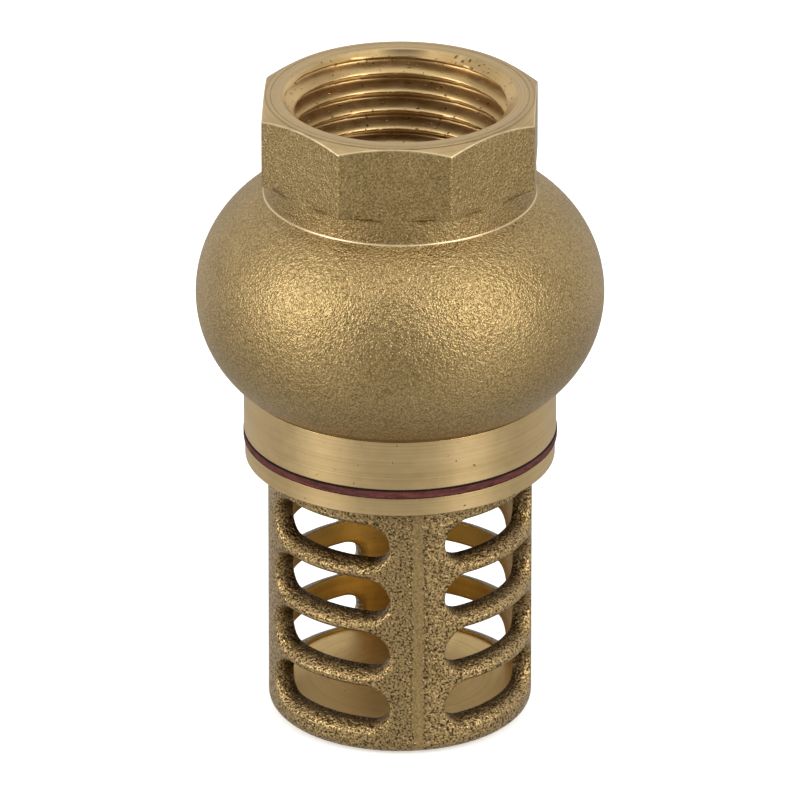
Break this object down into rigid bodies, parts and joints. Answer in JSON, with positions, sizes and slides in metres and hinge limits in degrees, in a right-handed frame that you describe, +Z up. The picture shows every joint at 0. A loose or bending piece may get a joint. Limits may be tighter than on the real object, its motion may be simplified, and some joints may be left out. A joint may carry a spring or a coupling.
{
  "type": "foot valve",
  "caption": "Brass foot valve with a female pipe thread, a bulb-shaped body, a spring-closed lifting poppet and a slotted strainer basket.",
  "frame": {"origin": "centre of the strainer basket's flat underside, on the valve's axis", "axes": "+Z up along the flow to the pipe thread; the octagon of the hub has flats facing +Y, -Y, +X and -X"},
  "size_m": [0.0364, 0.0364, 0.0595],
  "materials": {
    "cast_brass": "blasted",
    "rough_brass": "as cast",
    "turned_brass": "turned",
    "red_fibre": "matt",
    "black_rubber": "matt",
    "stainless": "brushed",
    "spring_steel": "drawn",
    "white_acetal": "moulded"
  },
  "bodies": {
    "housing": {"body": "cast_brass", "joint_gasket": "red_fibre", "strainer_basket": "rough_brass", "spider": "turned_brass", "spider_ring": "stainless", "guide_bush": "white_acetal"},
    "spring_seat": {"spring_washer": "stainless", "closing_spring": "spring_steel"},
    "poppet": {"valve_stem": "stainless", "disc_head": "turned_brass", "disc_seal": "black_rubber", "seal_plate": "turned_brass", "wing_guide": "turned_brass", "lock_washer": "stainless", "stem_nut": "stainless", "stem_clip": "stainless"}
  },
  "joints": [
    {"name": "poppet_lift", "type": "slide", "parent": "housing", "child": "spring_seat", "axis": [0, 0, 1], "range_m": [0, 0.004], "stiffness_N_per_m": 40, "springref_m": -0.002, "deforming": ["closing_spring"]},
    {"name": "poppet_spin", "type": "hinge", "parent": "spring_seat", "child": "poppet", "pos_m": [0, 0, 0.03664], "axis": [0, 0, 1], "continuous": true}
  ]
}
